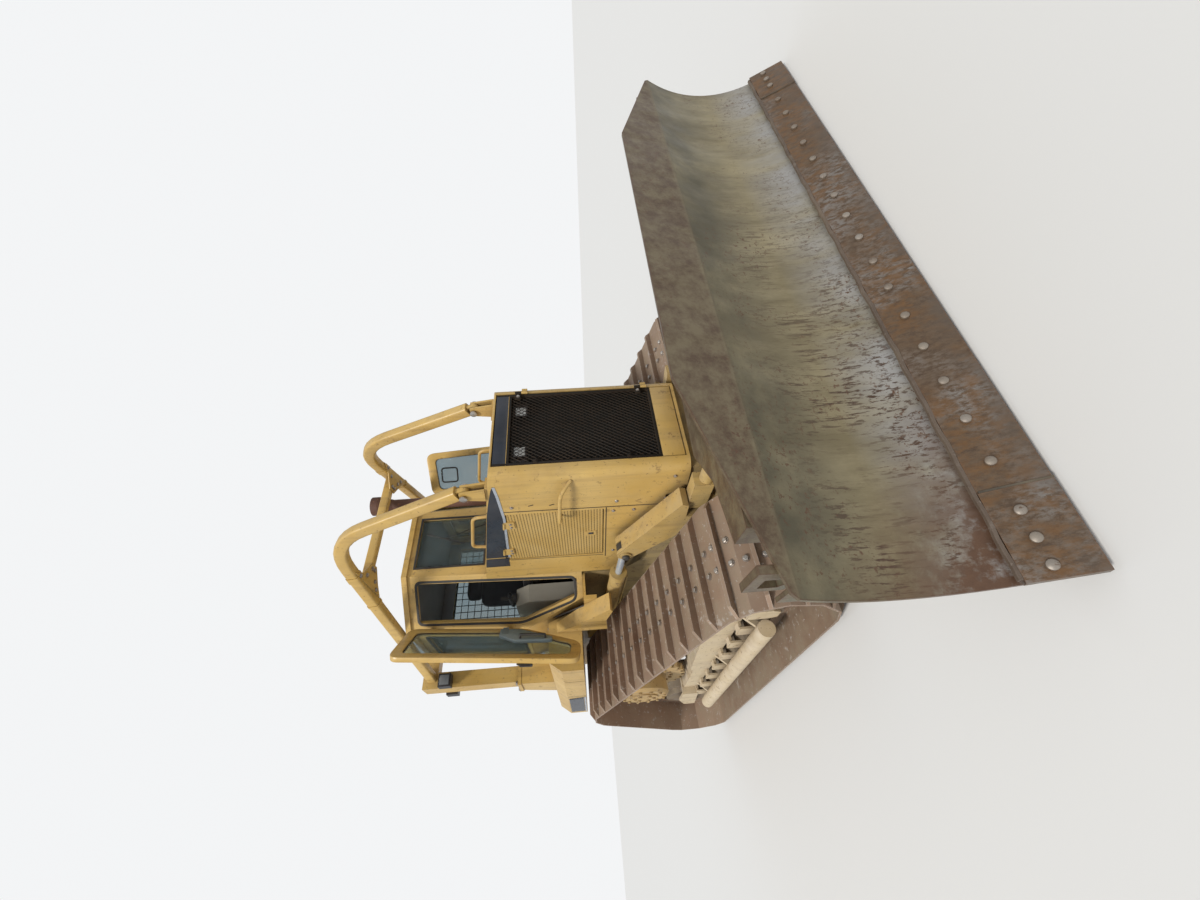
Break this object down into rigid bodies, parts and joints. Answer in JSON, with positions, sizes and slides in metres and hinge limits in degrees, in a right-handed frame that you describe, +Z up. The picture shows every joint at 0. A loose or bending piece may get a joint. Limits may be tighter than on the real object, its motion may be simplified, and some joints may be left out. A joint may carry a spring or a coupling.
{
  "type": "crawler bulldozer",
  "caption": "Low-ground-pressure crawler bulldozer with raised drive sprockets, angling push blade, enclosed cab with open doors, limb risers and drawbar.",
  "frame": {"origin": "centre of the footprint on the ground", "axes": "+Z up, the machine faces -Y, +X is the operator's left side"},
  "size_m": [3.3618, 5.5331, 3.42],
  "materials": {
    "blade_olive": "khaki, worn, rust patches",
    "body_paint": "faded warm yellow, dirty",
    "console_grey": "pale grey",
    "dusty_paint": "worn yellow under dust",
    "edge_steel": "scraped steel with rust",
    "engine_paint": "oily",
    "exhaust_rust": "rusty brown",
    "frame_paint": "old yellow under grime",
    "grille_black": "matt black",
    "lamp_black": "black housing",
    "ochre_steel": "ochre dust over steel",
    "rod_chrome": "bright",
    "screen_black": "matt black",
    "seat_black": "black cloth",
    "shoe_steel": "rust brown, polished at the wear faces",
    "window_glass": "bluish",
    "worn_steel": "worn and dusty"
  },
  "bodies": {
    "chassis": {"cab_body": "body_paint", "cab_glass": "window_glass", "cab_roof": "body_paint", "console": "console_grey", "drawbar": "frame_paint", "enclosure": "body_paint", "engine_block": "engine_paint", "exhaust_stack": "exhaust_rust", "fenders": "body_paint", "fuel_tank": "body_paint", "grab_rails": "body_paint", "idlers_rollers": "worn_steel", "lamps": "lamp_black", "limb_risers": "body_paint", "main_frame": "frame_paint", "platform": "body_paint", "rear_screen": "screen_black", "riser_feet": "body_paint", "roller_frames": "dusty_paint", "rollover_frame": "body_paint", "seat": "seat_black", "sprockets": "ochre_steel", "track_left": "shoe_steel", "track_right": "shoe_steel"},
    "push_frame": {"push_frame": "dusty_paint"},
    "yoke": {"blade_yoke": "dusty_paint"},
    "blade": {"blade": "blade_olive", "cutting_edge": "edge_steel"},
    "lift_barrel_right": {"lift_barrel_right": "dusty_paint"},
    "lift_barrel_left": {"lift_barrel_left": "dusty_paint"},
    "lift_rod_right": {"lift_rod_right": "rod_chrome"},
    "lift_rod_left": {"lift_rod_left": "rod_chrome"},
    "angle_barrel_right": {"angle_barrel_right": "dusty_paint"},
    "angle_barrel_left": {"angle_barrel_left": "dusty_paint"},
    "angle_rod_right": {"angle_rod_right": "rod_chrome"},
    "angle_rod_left": {"angle_rod_left": "rod_chrome"},
    "tilt_barrel": {"tilt_barrel": "dusty_paint"},
    "tilt_rod": {"tilt_rod": "rod_chrome"},
    "cab_door_right": {"cab_door_right": "body_paint", "door_glass_right": "window_glass"},
    "cab_door_left": {"cab_door_left": "body_paint", "door_glass_left": "window_glass"},
    "side_door_right": {"side_door_right": "body_paint"},
    "side_door_left": {"side_door_left": "body_paint"},
    "grille_door": {"grille_door": "grille_black"}
  },
  "joints": [
    {"name": "blade_lift", "type": "hinge", "parent": "chassis", "child": "push_frame", "pos_m": [0.09166, 0.73056, 0.5], "axis": [-1, 0, 0], "range_deg": [-7.5, 18]},
    {"name": "blade_angle", "type": "hinge", "parent": "push_frame", "child": "yoke", "pos_m": [0.09166, -1.76444, 0.5], "axis": [0, 0, 1], "range_deg": [-17.5, 32.5]},
    {"name": "blade_tilt", "type": "hinge", "parent": "yoke", "child": "blade", "pos_m": [0.09166, -1.76444, 0.5], "axis": [0.1305, 0.9914, 0], "range_deg": [-7.5, 7.5]},
    {"name": "lift_barrel_right_pivot", "type": "hinge", "parent": "chassis", "child": "lift_barrel_right", "pos_m": [-0.44334, 1.03056, 1.29], "axis": [-1, 0, 0], "range_deg": [-6.07, 13.87]},
    {"name": "lift_rod_right_slide", "type": "slide", "parent": "lift_barrel_right", "child": "lift_rod_right", "axis": [0, -0.9966, -0.0824], "range_m": [-0.24745, 0.10427]},
    {"name": "lift_barrel_left_pivot", "type": "hinge", "parent": "chassis", "child": "lift_barrel_left", "pos_m": [0.62666, 1.03056, 1.29], "axis": [-1, 0, 0], "range_deg": [-6.07, 13.87]},
    {"name": "lift_rod_left_slide", "type": "slide", "parent": "lift_barrel_left", "child": "lift_rod_left", "axis": [0, -0.9966, -0.0824], "range_m": [-0.24745, 0.10427]},
    {"name": "angle_barrel_right_pivot", "type": "hinge", "parent": "push_frame", "child": "angle_barrel_right", "pos_m": [-0.41334, -0.84944, 0.7], "axis": [0, 0, 1], "range_deg": [-5.81, 10.37]},
    {"name": "angle_rod_right_slide", "type": "slide", "parent": "angle_barrel_right", "child": "angle_rod_right", "axis": [-0.0974, -0.9952, 0], "range_m": [-0.17002, 0.31403]},
    {"name": "angle_barrel_left_pivot", "type": "hinge", "parent": "push_frame", "child": "angle_barrel_left", "pos_m": [0.59666, -0.84944, 0.7], "axis": [0, 0, 1], "range_deg": [-5.92, 10.57]},
    {"name": "angle_rod_left_slide", "type": "slide", "parent": "angle_barrel_left", "child": "angle_rod_left", "axis": [0.0171, -0.9999, 0], "range_m": [-0.31749, 0.17188]},
    {"name": "tilt_barrel_pivot", "type": "hinge", "parent": "yoke", "child": "tilt_barrel", "pos_m": [0.49343, -2.16027, 0.77], "axis": [0.1305, 0.9914, 0], "range_deg": [-1.25, 1.25]},
    {"name": "tilt_rod_slide", "type": "slide", "parent": "tilt_barrel", "child": "tilt_rod", "axis": [-0.9914, 0.1305, 0], "range_m": [-0.03729, 0.03729]},
    {"name": "cab_door_right_hinge", "type": "hinge", "parent": "chassis", "child": "cab_door_right", "pos_m": [-0.6868, 0.74276, 2.0611], "axis": [0.0587, -0.0262, 0.9979], "range_deg": [0, 93]},
    {"name": "cab_door_left_hinge", "type": "hinge", "parent": "chassis", "child": "cab_door_left", "pos_m": [0.87012, 0.74276, 2.0611], "axis": [0.0587, 0.0262, -0.9979], "range_deg": [0, 93]},
    {"name": "side_door_right_hinge", "type": "hinge", "parent": "chassis", "child": "side_door_right", "pos_m": [-0.33034, -0.62944, 2.05906], "axis": [0, 0.9896, 0.1436], "range_deg": [0, 85]},
    {"name": "side_door_left_hinge", "type": "hinge", "parent": "chassis", "child": "side_door_left", "pos_m": [0.51366, -0.62944, 2.05906], "axis": [0, -0.9896, -0.1436], "range_deg": [0, 85]},
    {"name": "grille_door_hinge", "type": "hinge", "parent": "chassis", "child": "grille_door", "pos_m": [0.42166, -1.11944, 1], "axis": [0, 0, -1], "range_deg": [-100, 0]}
  ],
  "couplings": [
    {"joint": "lift_barrel_right_pivot", "follows": "blade_lift", "ratio": 0.7426},
    {"joint": "lift_rod_right_slide", "follows": "blade_lift", "m_per_rad": -0.7813},
    {"joint": "lift_barrel_left_pivot", "follows": "blade_lift", "ratio": 0.7426},
    {"joint": "lift_rod_left_slide", "follows": "blade_lift", "m_per_rad": -0.7813},
    {"joint": "angle_barrel_right_pivot", "follows": "blade_angle", "ratio": 0.3037},
    {"joint": "angle_rod_right_slide", "follows": "blade_angle", "m_per_rad": 0.5501},
    {"joint": "angle_barrel_left_pivot", "follows": "blade_angle", "ratio": 0.3097},
    {"joint": "angle_rod_left_slide", "follows": "blade_angle", "m_per_rad": -0.5562},
    {"joint": "tilt_barrel_pivot", "follows": "blade_tilt", "ratio": 0.0998},
    {"joint": "tilt_rod_slide", "follows": "blade_tilt", "m_per_rad": -0.2696}
  ]
}
